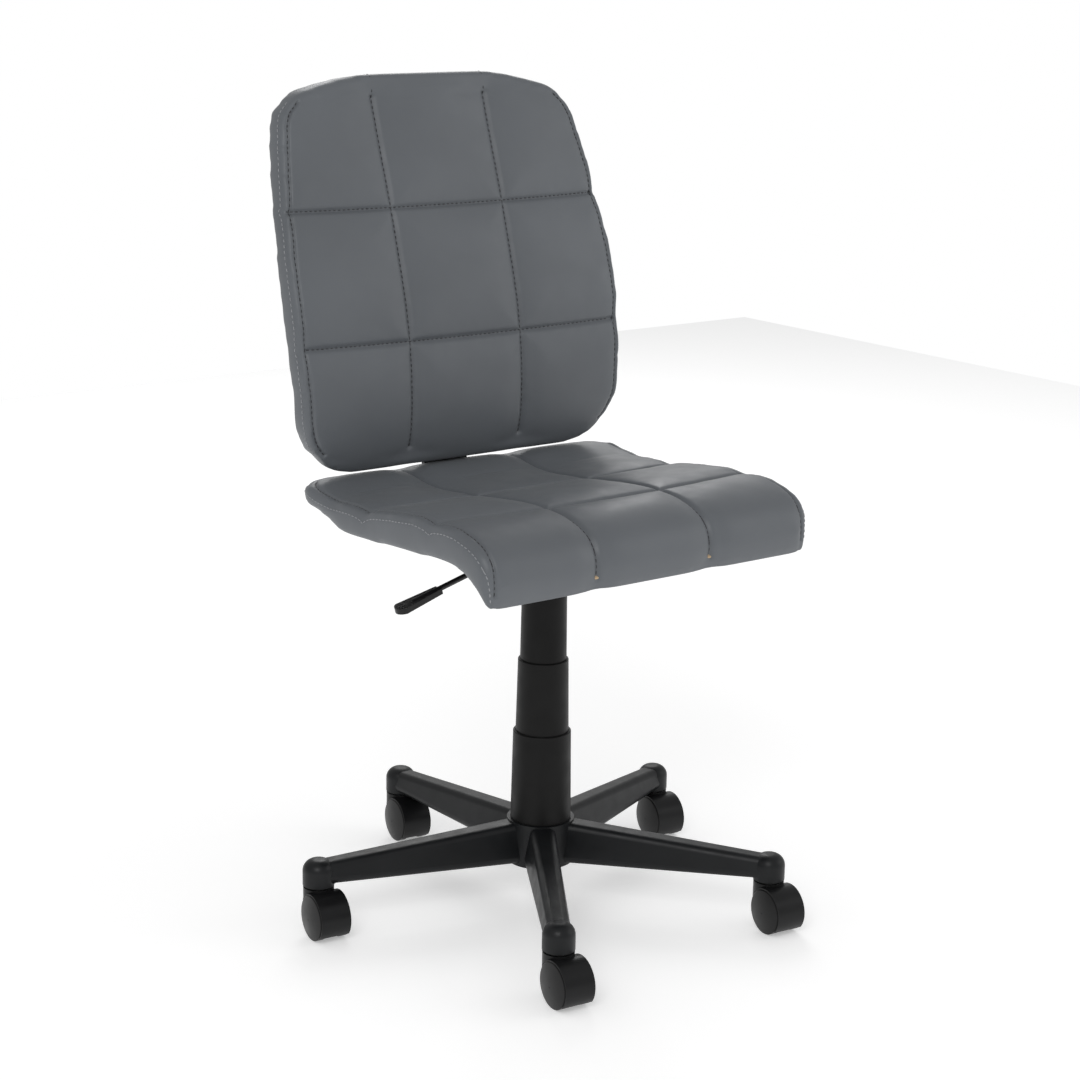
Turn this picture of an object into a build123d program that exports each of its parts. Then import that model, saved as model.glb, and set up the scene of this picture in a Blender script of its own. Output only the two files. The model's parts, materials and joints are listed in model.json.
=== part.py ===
"""Armless swivel task chair: quilted seat and back, gas-lift column, five-arm base on casters.

Millimetres. The origin is on the floor on the column's axis, +Z is up, the seat's front faces -Y
and +X is the sitter's left. The seat is modelled fully raised and the lever at rest.
"""
from build123d import *
from math import atan2, cos, degrees, radians, sin, tan
import os

# ---- driving dimensions --------------------------------------------------------------------------

# five-arm base
ARM_COUNT = 5
FIRST_ARM_ANGLE = -50.9            # degrees from +X
STEM_CIRCLE_R = 262.0              # caster stems stand on this circle
HUB_R = 38.0
HUB_BOTTOM_Z = 51.0
HUB_TOP_Z = 101.0
ARM_ROOT_R = 22.0                  # radius where each arm's section starts, inside the hub
ARM_ROOT_TOP_Z = 100.5
ARM_TIP_TOP_Z = 81.5
ARM_ROOT_BOTTOM_Z = 52.5
ARM_TIP_BOTTOM_Z = 57.0
ARM_ROOT_WIDTH = 43.0
ARM_TIP_WIDTH = 34.0
ARM_TOP_TO_BOTTOM_WIDTH = 0.62     # the arm's section narrows to this share at its top
ARM_WALL = 3.2
ARM_EDGE_R = 8.0
RIB_THICKNESS = 2.2
RIB_RADII = (88.0, 132.0, 176.0, 220.0)
SOCKET_BOSS_R = 17.5
SOCKET_RIM_Z = 55.4
SOCKET_DOME_Z = 84.5
SOCKET_DEPTH = 23.0
SOCKET_DOME_R = 13.0
SOCKET_BORE_GAP = 0.6              # room round the stem for its grip ring
ARM_MOUTH_CUT = 5.0                # how far the hollow's cutter reaches below the arm
GRIP_RING_HEIGHT = 9.0
GRIP_RING_RISE = 6.0               # above the socket's rim
GRIP_RING_SLIT = 2.0

# caster
WHEEL_R = 25.0
CASTER_TRAIL = 18.6                # axle's distance behind the stem
CASTER_ANGLE = -96.4               # degrees from +X in which every caster trails at rest
HOOD_R = 26.6
HOOD_INNER_R = 25.4
HOOD_HALF_WIDTH = 17.6
HOOD_BOTTOM_Z = 8.0
WEB_HALF_WIDTH = 7.3
NECK_R = 17.0
NECK_TOP_Z = 53.2
WHEEL_INNER_FACE = 8.0             # distances from the caster's middle plane
WHEEL_RIM_FACE = 18.6
WHEEL_DOME_FACE = 21.8
WHEEL_RIM_THICKNESS = 3.0
WHEEL_DISC_THICKNESS = 2.0
WHEEL_HUB_R = 6.5
WHEEL_SHOULDER = 2.5
WHEEL_DOME_INSET = 0.8
WHEEL_EDGE = 0.6
AXLE_R = 3.0
AXLE_HALF_LENGTH = 17.0
AXLE_END_GAP = 0.4
STEM_R = 5.5
STEM_BOTTOM_Z = 32.0
STEM_COLLAR_R = 9.5
STEM_END_GAP = 1.0
COLLAR_NECK_GAP = 0.4
HOOD_REAR_EDGE_Z = 39.2            # ahead of the axle, the hood starts above this
NECK_BOTTOM_Z = 26.0
STEM_FLOOR_GAP = 0.5
RUNNING_GAP = 0.05                 # radial clearance of a shaft that turns or slides

# column
TUBE_R = 22.5
TUBE_TAPER_R = 21.4
TUBE_WALL = 1.5
TUBE_BOTTOM_Z = 50.0
TUBE_TAPER_TOP_Z = 96.0
TUBE_TOP_Z = 253.0
TUBE_FLOOR = 4.0
CYLINDER_R = 14.0
CYLINDER_TAPER_R = 13.2
CYLINDER_WALL = 1.6
CYLINDER_BOTTOM_Z = 175.0
CYLINDER_TAPER_Z = 386.0
CYLINDER_TOP_Z = 411.0
ROD_R = 5.0
ROD_NECK_R = 4.0
ROD_SHOULDER_Z = 61.5
ROD_BOTTOM_Z = 44.5
PISTON_BOTTOM_Z = 190.0
PISTON_HEIGHT = 10.0
PIN_R = 3.0
PIN_TOP_Z = 416.0
PIN_LENGTH = 26.0
PIN_TRAVEL_ROOM = 8.0
PIN_CHAMFER = 0.6
BUSHING_DEPTH = 68.0
BUSHING_FLANGE = 3.0
CYLINDER_GLAND_HEIGHT = 12.0
CYLINDER_HEAD_HEIGHT = 10.0

# swivel bearing under the rod
CLIP_Z = (46.0, 47.6)
CLIP_R = 8.0
CLIP_MOUTH = 4.4
WASHER_RING_R = 11.0
LOWER_WASHER_TOP_Z = 56.0
UPPER_WASHER_BOTTOM_Z = 59.5
BALL_COUNT = 10
BALL_R = 1.7
BALL_CIRCLE_R = 7.6
BUMP_STOP_TOP_Z = 72.0

# telescoping cover: bottom z, top z, outer radius at the bottom and at the top
COVER_LOWER = (101.3, 204.4, 34.1, 32.5)
COVER_MIDDLE = (190.0, 288.0, 30.05, 28.2)
COVER_UPPER = (277.0, 385.0, 26.1, 24.9)
COVER_WALL = 1.6
COVER_LIP_HEIGHT = 1.8
COVER_LIP_GAP = 0.35
COVER_EDGE_R = 1.2

# swivel plate under the seat, square to a plane that drops towards the rear
SEAT_UNDER_Z = 445.6
SEAT_RAKE = 3.5                    # degrees
DUST_COVER_THICKNESS = 0.7
PLATE_SIZE = (164.0, 136.0)
PLATE_CENTRE_Y = 12.0
PLATE_THICKNESS = 2.5
PLATE_BOLT_X = 68.0
PLATE_BOLT_Y = (-44.0, 66.0)
CHANNEL_HALF_LENGTH = 44.0
CHANNEL_HALF_WIDTH = 29.0
CHANNEL_FLOOR_Z = 402.0
CHANNEL_SHEET = 2.5
CHANNEL_BEND_R = 4.0
SOCKET_OUTER_R = 19.0
SOCKET_BOTTOM_Z = 386.0

# lever, in the plane y = 0 on the sitter's right
PIVOT_X = -32.0
PIVOT_Z = 419.3
LEVER_ROD_R = 3.0
PIVOT_PIN_R = 2.5
PIVOT_BOSS_R = 6.0
PIVOT_HEAD_THICKNESS = 1.5
LEVER_INNER_X = 9.0
LEVER_DROP = 15.3                  # degrees below the horizontal, outwards
HANDLE_START = 114.0               # distances along the rod from the pivot
HANDLE_LENGTH = 57.0
HANDLE_INNER_WIDTH = 12.0
HANDLE_OUTER_WIDTH = 21.0
HANDLE_THICKNESS = 8.5
HANDLE_BEVEL = 2.4
HANDLE_END_BOW = 7.0
HANDLE_GRIP_SHARE = 0.6            # share of the handle's length that the rod fills

# seat pad: (y, z) pairs across the pad's thickness, from the rear edge to the front lip
SEAT_TOP = ((184, 482), (150, 486), (112, 480.5), (70, 481), (20, 486), (-40, 493.5), (-95, 497.5),
            (-130, 496), (-160, 489.5), (-182, 477), (-193, 459), (-195, 440), (-190, 418))
SEAT_UNDER = ((180, 459), (140, 457.5), (104, 450), (66, 441.5), (18, 444.5), (-38, 448), (-90, 451.1),
              (-122, 451), (-145, 447), (-160, 439), (-171, 430), (-180, 421), (-186, 415))
SEAT_FLAT_STATIONS = (3, 6)        # between these the underside is flat and square to the plate
SEAT_HALF_WIDTH = 214.0
SEAT_FRONT_CORNER_R = 22.0
SEAT_REAR_CORNER_R = 52.0
LEAST_CORNER_R = 4.0
SEAT_FRONT_Y = -197.0
SEAT_REAR_Y = 185.0
SEAT_BOARD_THICKNESS = 12.0
BOARD_EDGE_INSET = 13.0            # the foam wraps round the edges of both boards
COVER_WRAP = 28.0                  # how far the cover is turned under the seat board

# back pad: (y, z) pairs across the pad's thickness, from the bottom edge to the crest
BACK_FRONT = ((156, 490), (143.5, 514), (139.5, 545), (139.5, 580), (143, 620), (150.5, 663),
              (165, 715), (183, 774), (199, 820), (213, 860), (224, 893), (232, 914))
BACK_REAR = ((176, 489), (180, 514), (179, 545), (178.5, 580), (182.8, 620), (192.4, 663),
             (203.8, 714), (221, 766), (236, 809), (249, 848), (258, 880), (263, 903))
BACK_BOTTOM_Z = 489.0
BACK_TOP_Z = 914.5
BACK_HALF_WIDTH = 217.0
BACK_BOARD_THICKNESS = 10.0
QUILT_THICKNESS = 8.0              # vinyl with its wadding, over the foam
SIDE_COVER_THICKNESS = 3.0
UNDER_COVER_THICKNESS = 1.4
PAD_GAP = 0.15                     # between a cover and what it holds

# back bar
BAR_WIDTH = 60.0
BAR_THICKNESS = 5.0
BAR_FRONT_Y = 34.0
BAR_ELBOW = (199.0, 430.0)
BAR_WAIST = (182.0, 603.0)
BAR_TOP = (203.4, 698.0)
BAR_ELBOW_R = 30.0
BAR_WAIST_R = 90.0
BAR_BOLT_X = 18.0
BAR_BOLT_Y = (48.0, 70.0)
BACK_BOLT_Z = (632.0, 656.0, 680.0)

# fasteners
BOLT_R = 2.9
BOLT_HOLE_R = 3.2
BOLT_HEAD_R = 5.6
BOLT_HEAD_HEIGHT = 4.0
WASHER_R = 8.5
WASHER_THICKNESS = 1.5
TEE_BARREL_R = 4.0
TEE_FLANGE_R = 9.0
TEE_FLANGE_THICKNESS = 1.4
BOLT_HEAD_CHAMFER = 0.6
SEAT_TEE_BARREL = 9.0
BACK_TEE_BARREL = 8.0
BACK_TEE_DEPTH = 17.6              # of the flange's top, in front of the bar's rear face

BIG = 600.0                        # longer than any cut needs

ARM_ANGLES = [FIRST_ARM_ANGLE + i * 360.0 / ARM_COUNT for i in range(ARM_COUNT)]
SEAT_PLANE = Plane(
    origin=(0, 0, SEAT_UNDER_Z),
    x_dir=(1, 0, 0),
    z_dir=(0, sin(radians(SEAT_RAKE)), cos(radians(SEAT_RAKE))),
)
BAR_RAKE = degrees(atan2(BAR_TOP[0] - BAR_WAIST[0], BAR_TOP[1] - BAR_WAIST[1]))


# ---- small helpers -------------------------------------------------------------------------------

def cylinder(radius, bottom, top, x=0.0, y=0.0):
    """An upright cylinder between two heights."""
    middle = (bottom + top) / 2
    return Pos(x, y, middle) * Cylinder(radius, top - bottom)


def cone(bottom_radius, top_radius, bottom, top):
    """An upright truncated cone on the column's axis."""
    return Pos(0, 0, (bottom + top) / 2) * Cone(bottom_radius, top_radius, top - bottom)


def tube(outer, inner, bottom, top):
    """An upright ring or pipe on the column's axis."""
    return cylinder(outer, bottom, top) - cylinder(inner, bottom, top)


def box_between(x0, x1, y0, y1, z0, z1):
    """A box given by its limits."""
    centre = Pos((x0 + x1) / 2, (y0 + y1) / 2, (z0 + z1) / 2)
    return centre * Box(x1 - x0, y1 - y0, z1 - z0)


def save(name, *solids):
    """Write one node, which is one solid or a group of identical ones."""
    shape = solids[0] if len(solids) == 1 else Compound(children=[Solid(s.wrapped) for s in flat(solids)])
    export_step(shape, f"parts/{name}.step")


def flat(shapes):
    """Every solid of every shape given."""
    return [solid for shape in shapes for solid in shape.solids()]


# ---- five-arm base -------------------------------------------------------------------------------

def arm_section(distance, width, bottom, top, edge_r):
    """The arm's section at a distance from the column: a round-topped trapezium."""
    plane = Plane(origin=(distance, 0, 0), x_dir=(0, 1, 0), z_dir=(1, 0, 0))
    half_top = width * ARM_TOP_TO_BOTTOM_WIDTH / 2
    with BuildSketch(plane) as section:
        with BuildLine():
            Polyline((-width / 2, bottom), (width / 2, bottom), (half_top, top), (-half_top, top), close=True)
        make_face()
        fillet(section.vertices().group_by(Axis.Z)[-1], edge_r)
    return section.sketch


def arm_solid(inset, bottom_drop, reach):
    """The arm's body, or with an inset the hollow under it, along +X."""
    end = reach - ARM_ROOT_R
    full = STEM_CIRCLE_R - ARM_ROOT_R
    share = end / full

    def at(share_of_arm, root_value, tip_value):
        return root_value + (tip_value - root_value) * share_of_arm

    sections = []
    for distance, s in ((ARM_ROOT_R, 0.0), (reach, share)):
        width = at(s, ARM_ROOT_WIDTH, ARM_TIP_WIDTH) - 2 * inset
        bottom = at(s, ARM_ROOT_BOTTOM_Z, ARM_TIP_BOTTOM_Z) - bottom_drop
        top = at(s, ARM_ROOT_TOP_Z, ARM_TIP_TOP_Z) - inset
        sections.append(arm_section(distance, width, bottom, top, ARM_EDGE_R - inset))
    return loft(sections, ruled=True)


def socket_boss():
    """The round end of an arm, domed on top, that takes a caster's stem."""
    boss = cylinder(SOCKET_BOSS_R, SOCKET_RIM_Z, SOCKET_DOME_Z, x=STEM_CIRCLE_R)
    return fillet(boss.edges().group_by(Axis.Z)[-1], SOCKET_DOME_R)


def stem_hole():
    """The bore in an arm's end that holds a stem and its grip ring."""
    top = SOCKET_RIM_Z + SOCKET_DEPTH
    return cylinder(STEM_R + SOCKET_BORE_GAP, SOCKET_RIM_Z - 1, top, x=STEM_CIRCLE_R)


def base_star():
    """One moulding: hub with a taper bore, and five hollow ribbed arms."""
    arm = arm_solid(0.0, 0.0, STEM_CIRCLE_R)
    hollow_reach = STEM_CIRCLE_R - SOCKET_BOSS_R + 2
    hollow = arm_solid(ARM_WALL, ARM_MOUTH_CUT, hollow_reach)
    hollow -= cylinder(HUB_R - 3, HUB_BOTTOM_Z - 10, HUB_TOP_Z)
    hollow -= cylinder(SOCKET_BOSS_R - 3, 0, BIG, x=STEM_CIRCLE_R)
    for radius in RIB_RADII:
        hollow -= box_between(radius, radius + RIB_THICKNESS, -BIG, BIG, ARM_ROOT_BOTTOM_Z + 6, BIG)
    arm = arm - hollow + socket_boss() - stem_hole()
    hub = cylinder(HUB_R, HUB_BOTTOM_Z, HUB_TOP_Z)
    star = hub
    for angle in ARM_ANGLES:
        star += Rot(0, 0, angle) * arm
    bore = cone(TUBE_TAPER_R, TUBE_R, TUBE_BOTTOM_Z, TUBE_TAPER_TOP_Z)
    bore += cylinder(TUBE_R + 0.1, TUBE_TAPER_TOP_Z, HUB_TOP_Z + 1)
    return star - bore


def caster_stems():
    """Steel stems with a shoulder under each arm end."""
    stem_top = SOCKET_RIM_Z + SOCKET_DEPTH - STEM_END_GAP
    stem = cylinder(STEM_R, STEM_BOTTOM_Z, stem_top, x=STEM_CIRCLE_R)
    stem += cylinder(STEM_COLLAR_R, NECK_TOP_Z + COLLAR_NECK_GAP, SOCKET_RIM_Z, x=STEM_CIRCLE_R)
    return [Rot(0, 0, angle) * stem for angle in ARM_ANGLES]


def stem_grip_rings():
    """Split spring rings between stem and socket."""
    low = SOCKET_RIM_Z + GRIP_RING_RISE
    high = low + GRIP_RING_HEIGHT
    half_slit = GRIP_RING_SLIT / 2
    ring = cylinder(STEM_R + SOCKET_BORE_GAP, low, high, x=STEM_CIRCLE_R)
    ring -= cylinder(STEM_R, low, high, x=STEM_CIRCLE_R)
    ring -= box_between(STEM_CIRCLE_R, BIG, -half_slit, half_slit, low - 1, high + 1)
    return [Rot(0, 0, angle) * ring for angle in ARM_ANGLES]


# ---- casters: built with the stem on the Z axis, trailing along +X, axle along Y ---------------------

def lying(radius, y0, y1, x=CASTER_TRAIL, z=WHEEL_R):
    """A cylinder along Y between two distances from the caster's middle plane."""
    return Pos(x, (y0 + y1) / 2, z) * Rot(90, 0, 0) * Cylinder(radius, y1 - y0)


def caster_hood():
    """Hood over both wheels, the web between them and the round neck on the stem."""
    shell = lying(HOOD_R, -HOOD_HALF_WIDTH, HOOD_HALF_WIDTH)
    shell -= lying(HOOD_INNER_R, -HOOD_HALF_WIDTH, HOOD_HALF_WIDTH)
    shell -= box_between(-BIG, CASTER_TRAIL, -BIG, BIG, -BIG, HOOD_REAR_EDGE_Z)
    web = lying(HOOD_INNER_R, -WEB_HALF_WIDTH, WEB_HALF_WIDTH)
    neck = cylinder(NECK_R, NECK_BOTTOM_Z, NECK_TOP_Z)
    for side in (-1, 1):
        inner, outer = sorted((side * WEB_HALF_WIDTH, side * BIG / 4))
        neck -= lying(HOOD_INNER_R, inner, outer)
    hood = shell + web + neck
    hood -= box_between(-BIG, BIG, -BIG, BIG, -BIG, HOOD_BOTTOM_Z)
    hood -= lying(AXLE_R, -BIG / 4, BIG / 4)
    hood -= cylinder(STEM_R + RUNNING_GAP, STEM_BOTTOM_Z - STEM_FLOOR_GAP, NECK_TOP_Z + 1)
    return hood


def caster_axle():
    """Plain steel axle."""
    return lying(AXLE_R, -AXLE_HALF_LENGTH, AXLE_HALF_LENGTH)


def caster_wheel(side):
    """One cup-shaped wheel: rounded tread, domed outer disc and a hub with a blind bore."""
    bore_r = AXLE_R + RUNNING_GAP
    rim_inner_r = WHEEL_R - WHEEL_RIM_THICKNESS
    disc_inner_face = WHEEL_RIM_FACE - WHEEL_DISC_THICKNESS
    shoulder = WHEEL_SHOULDER
    bore_end = AXLE_HALF_LENGTH + AXLE_END_GAP
    dome_r = WHEEL_R - WHEEL_DOME_INSET
    dome_rise = WHEEL_DOME_FACE - WHEEL_RIM_FACE
    sphere_r = (dome_r ** 2 + dome_rise ** 2) / (2 * dome_rise)
    dome_half_way = WHEEL_DOME_FACE - sphere_r + (sphere_r ** 2 - dome_r ** 2 / 4) ** 0.5
    with BuildSketch(Plane.XY) as profile:
        with BuildLine():
            Polyline(
                (bore_r, bore_end), (bore_r, WHEEL_INNER_FACE), (WHEEL_HUB_R, WHEEL_INNER_FACE),
                (WHEEL_HUB_R, disc_inner_face), (rim_inner_r, disc_inner_face),
                (rim_inner_r, WHEEL_INNER_FACE),
                (WHEEL_R - shoulder, WHEEL_INNER_FACE),
            )
            ThreePointArc(
                (WHEEL_R - shoulder, WHEEL_INNER_FACE),
                (WHEEL_R - 0.3 * shoulder, WHEEL_INNER_FACE + 0.3 * shoulder),
                (WHEEL_R, WHEEL_INNER_FACE + shoulder),
            )
            Polyline((WHEEL_R, WHEEL_INNER_FACE + shoulder), (WHEEL_R, WHEEL_RIM_FACE - WHEEL_EDGE),
                     (dome_r, WHEEL_RIM_FACE))
            ThreePointArc((dome_r, WHEEL_RIM_FACE), (dome_r / 2, dome_half_way), (0, WHEEL_DOME_FACE))
            Polyline((0, WHEEL_DOME_FACE), (0, bore_end), (bore_r, bore_end))
        make_face()
    wheel = revolve(profile.sketch, Axis.Y)
    if side < 0:
        wheel = mirror(wheel, Plane.XZ)
    return Pos(CASTER_TRAIL, 0, WHEEL_R) * wheel


def caster_place(angle):
    """Where the caster under the arm at this angle stands."""
    x = STEM_CIRCLE_R * cos(radians(angle))
    y = STEM_CIRCLE_R * sin(radians(angle))
    return Pos(x, y, 0) * Rot(0, 0, CASTER_ANGLE)


# ---- gas lift ------------------------------------------------------------------------------------

def column_tube():
    """Outer tube: tapered foot, and a floor with a hole for the rod's neck."""
    outside = cone(TUBE_TAPER_R, TUBE_R, TUBE_BOTTOM_Z, TUBE_TAPER_TOP_Z)
    outside += cylinder(TUBE_R, TUBE_TAPER_TOP_Z, TUBE_TOP_Z)
    inside = cone(TUBE_TAPER_R - TUBE_WALL, TUBE_R - TUBE_WALL, TUBE_BOTTOM_Z + TUBE_FLOOR, TUBE_TAPER_TOP_Z)
    inside += cylinder(TUBE_R - TUBE_WALL, TUBE_TAPER_TOP_Z, TUBE_TOP_Z)
    hole = cylinder(ROD_NECK_R + RUNNING_GAP, TUBE_BOTTOM_Z - 1, TUBE_BOTTOM_Z + TUBE_FLOOR)
    return outside - inside - hole


def guide_bushing():
    """Plastic guide for the cylinder, with a flange on the tube's mouth."""
    bottom = TUBE_TOP_Z - BUSHING_DEPTH
    top = TUBE_TOP_Z + BUSHING_FLANGE
    body = cylinder(TUBE_R - TUBE_WALL, bottom, TUBE_TOP_Z)
    flange = cylinder(TUBE_R, TUBE_TOP_Z, top)
    return body + flange - cylinder(CYLINDER_R + RUNNING_GAP, bottom - 1, top + 1)


def piston_rod():
    """Rod with a thinner neck that stands in the swivel bearing."""
    neck_groove = tube(ROD_NECK_R + 1, ROD_NECK_R - 1, *CLIP_Z)
    rod = cylinder(ROD_R, ROD_SHOULDER_Z, PISTON_BOTTOM_Z + PISTON_HEIGHT)
    rod += cylinder(ROD_NECK_R, ROD_BOTTOM_Z, ROD_SHOULDER_Z)
    return rod - neck_groove


def gas_piston():
    """Piston on the rod's upper end, inside the cylinder."""
    outer = CYLINDER_R - CYLINDER_WALL - RUNNING_GAP
    return tube(outer, ROD_R, PISTON_BOTTOM_Z, PISTON_BOTTOM_Z + PISTON_HEIGHT)


def rod_clip():
    """Open spring clip in the rod's groove, under the tube's floor."""
    clip = tube(CLIP_R, ROD_NECK_R - 1, *CLIP_Z)
    half_mouth = CLIP_MOUTH / 2
    return clip - box_between(0, BIG, -half_mouth, half_mouth, CLIP_Z[0] - 1, CLIP_Z[1] + 1)


def thrust_washer_lower():
    """Washer on the tube's floor."""
    return tube(WASHER_RING_R, ROD_NECK_R + RUNNING_GAP, TUBE_BOTTOM_Z + TUBE_FLOOR, LOWER_WASHER_TOP_Z)


def thrust_ball_ring():
    """Ring of bearing balls between the two washers."""
    height = (LOWER_WASHER_TOP_Z + UPPER_WASHER_BOTTOM_Z) / 2
    ball = Pos(BALL_CIRCLE_R, 0, height) * Sphere(BALL_R)
    return [Rot(0, 0, i * 360.0 / BALL_COUNT) * ball for i in range(BALL_COUNT)]


def thrust_washer_upper():
    """Washer under the rod's shoulder."""
    return tube(WASHER_RING_R, ROD_NECK_R, UPPER_WASHER_BOTTOM_Z, ROD_SHOULDER_Z)


def bump_stop():
    """Rubber ring round the rod, over the bearing."""
    return tube(WASHER_RING_R, ROD_R, ROD_SHOULDER_Z, BUMP_STOP_TOP_Z)


def gas_cylinder():
    """Pressure cylinder, tapered at the top, with the rod's gland at its foot."""
    body = cylinder(CYLINDER_R, CYLINDER_BOTTOM_Z, CYLINDER_TAPER_Z)
    body += cone(CYLINDER_R, CYLINDER_TAPER_R, CYLINDER_TAPER_Z, CYLINDER_TOP_Z)
    gland_top = CYLINDER_BOTTOM_Z + CYLINDER_GLAND_HEIGHT
    cavity = cylinder(CYLINDER_R - CYLINDER_WALL, gland_top, CYLINDER_TAPER_Z - CYLINDER_HEAD_HEIGHT)
    gland = cylinder(ROD_R + RUNNING_GAP, CYLINDER_BOTTOM_Z - 1, gland_top)
    pin_bottom = PIN_TOP_Z - PIN_LENGTH
    pin_hole = cylinder(PIN_R + RUNNING_GAP, pin_bottom - PIN_TRAVEL_ROOM, CYLINDER_TOP_Z + 1)
    return body - cavity - gland - pin_hole


def release_pin():
    """Valve pin that the lever presses."""
    pin = cylinder(PIN_R, PIN_TOP_Z - PIN_LENGTH, PIN_TOP_Z)
    return chamfer(pin.edges().group_by(Axis.Z)[-1], PIN_CHAMFER)


def cover_stage(dims, lip_inner_r=None):
    """One stage of the column cover, with an inward lip where the next stage comes out."""
    bottom, top, bottom_r, top_r = dims
    stage = cone(bottom_r, top_r, bottom, top)
    stage = fillet(stage.edges().group_by(Axis.Z)[-1], COVER_EDGE_R)
    lip_bottom = top - COVER_LIP_HEIGHT
    if lip_inner_r is None:
        return stage - cone(bottom_r - COVER_WALL, top_r - COVER_WALL, bottom, top)
    inner_top_r = top_r - COVER_WALL
    stage -= cone(bottom_r - COVER_WALL, inner_top_r, bottom, lip_bottom)
    return stage - cylinder(lip_inner_r, lip_bottom - 1, top + 1)


def radius_at(dims, z):
    """Outer radius of a cover stage at a height."""
    bottom, top, bottom_r, top_r = dims
    return bottom_r + (top_r - bottom_r) * (z - bottom) / (top - bottom)


# ---- swivel plate and lever ----------------------------------------------------------------------

def on_seat_plane(x, y, z=0.0):
    """A place on the raked plane of the seat board's underside."""
    return SEAT_PLANE.location * Pos(x, y, z)


PLATE_TOP = UNDER_COVER_THICKNESS - DUST_COVER_THICKNESS - PAD_GAP
PLATE_BOTTOM = PLATE_TOP - PLATE_THICKNESS
BAR_BOTTOM = PLATE_BOTTOM - BAR_THICKNESS
PLATE_BOLTS = [(x, y) for x in (-PLATE_BOLT_X, PLATE_BOLT_X) for y in PLATE_BOLT_Y]
BAR_BOLTS = [(x, y) for x in (-BAR_BOLT_X, BAR_BOLT_X) for y in BAR_BOLT_Y]


def seat_plate():
    """Flat pressed plate bolted under the seat board."""
    middle = (PLATE_TOP + PLATE_BOTTOM) / 2
    plate = on_seat_plane(0, PLATE_CENTRE_Y, middle) * Box(*PLATE_SIZE, PLATE_THICKNESS)
    for x, y in PLATE_BOLTS + BAR_BOLTS:
        plate -= on_seat_plane(x, y, middle) * Cylinder(BOLT_HOLE_R, 3 * PLATE_THICKNESS)
    return plate


def plate_channel():
    """Folded channel under the plate that carries the socket and the lever's pivot."""
    x = CHANNEL_HALF_LENGTH
    y = CHANNEL_HALF_WIDTH
    outside = box_between(-x, x, -y, y, CHANNEL_FLOOR_Z, SEAT_UNDER_Z + 20)
    outside = fillet(outside.edges().filter_by(Axis.X).group_by(Axis.Z)[0], CHANNEL_BEND_R)
    inside = box_between(-BIG, BIG, -y + CHANNEL_SHEET, y - CHANNEL_SHEET,
                         CHANNEL_FLOOR_Z + CHANNEL_SHEET, BIG)
    above = on_seat_plane(0, 0, PLATE_BOTTOM + BIG / 2) * Box(BIG, BIG, BIG)
    channel = outside - inside - above
    channel -= cylinder(SOCKET_OUTER_R, 0, CHANNEL_FLOOR_Z + 10)
    channel -= lying(PIVOT_PIN_R, -BIG / 4, BIG / 4, x=PIVOT_X, z=PIVOT_Z)
    return channel


def taper_socket():
    """Turned socket, welded in the channel, that the cylinder's taper wedges into."""
    top = CHANNEL_FLOOR_Z + CHANNEL_SHEET
    socket = cylinder(SOCKET_OUTER_R, SOCKET_BOTTOM_Z, top)
    share = (top - CYLINDER_TAPER_Z) / (CYLINDER_TOP_Z - CYLINDER_TAPER_Z)
    top_r = CYLINDER_R + (CYLINDER_TAPER_R - CYLINDER_R) * share
    return socket - cone(CYLINDER_R, top_r, SOCKET_BOTTOM_Z, top)


def lever_pivot_pin():
    """Pin through both walls of the channel, headed at both ends."""
    wall = CHANNEL_HALF_WIDTH
    end = wall + PIVOT_HEAD_THICKNESS
    head_r = PIVOT_PIN_R + PIVOT_HEAD_THICKNESS
    pin = lying(PIVOT_PIN_R, -end, end, x=PIVOT_X, z=PIVOT_Z)
    pin += lying(head_r, wall, end, x=PIVOT_X, z=PIVOT_Z)
    return pin + lying(head_r, -end, -wall, x=PIVOT_X, z=PIVOT_Z)


LEVER_FRAME = Pos(PIVOT_X, 0, PIVOT_Z) * Rot(0, -LEVER_DROP, 0) * Rot(0, 0, 180)


def along_lever(radius, start, end):
    """A round bar along the outer part of the lever."""
    return LEVER_FRAME * Pos((start + end) / 2, 0, 0) * Rot(0, 90, 0) * Cylinder(radius, end - start)


def lever_rod():
    """Bent rod: over the release pin inside, out to the handle outside, with an eye at the bend."""
    inner = box_between(PIVOT_X, LEVER_INNER_X, -LEVER_ROD_R, LEVER_ROD_R, PIVOT_Z - LEVER_ROD_R,
                        PIVOT_Z + LEVER_ROD_R)
    outer = along_lever(LEVER_ROD_R, 0, HANDLE_START + HANDLE_LENGTH * HANDLE_GRIP_SHARE)
    eye = lying(PIVOT_BOSS_R, -LEVER_ROD_R, LEVER_ROD_R, x=PIVOT_X, z=PIVOT_Z)
    hole = lying(PIVOT_PIN_R + RUNNING_GAP, -BIG / 4, BIG / 4, x=PIVOT_X, z=PIVOT_Z)
    return inner + outer + eye - hole


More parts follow.
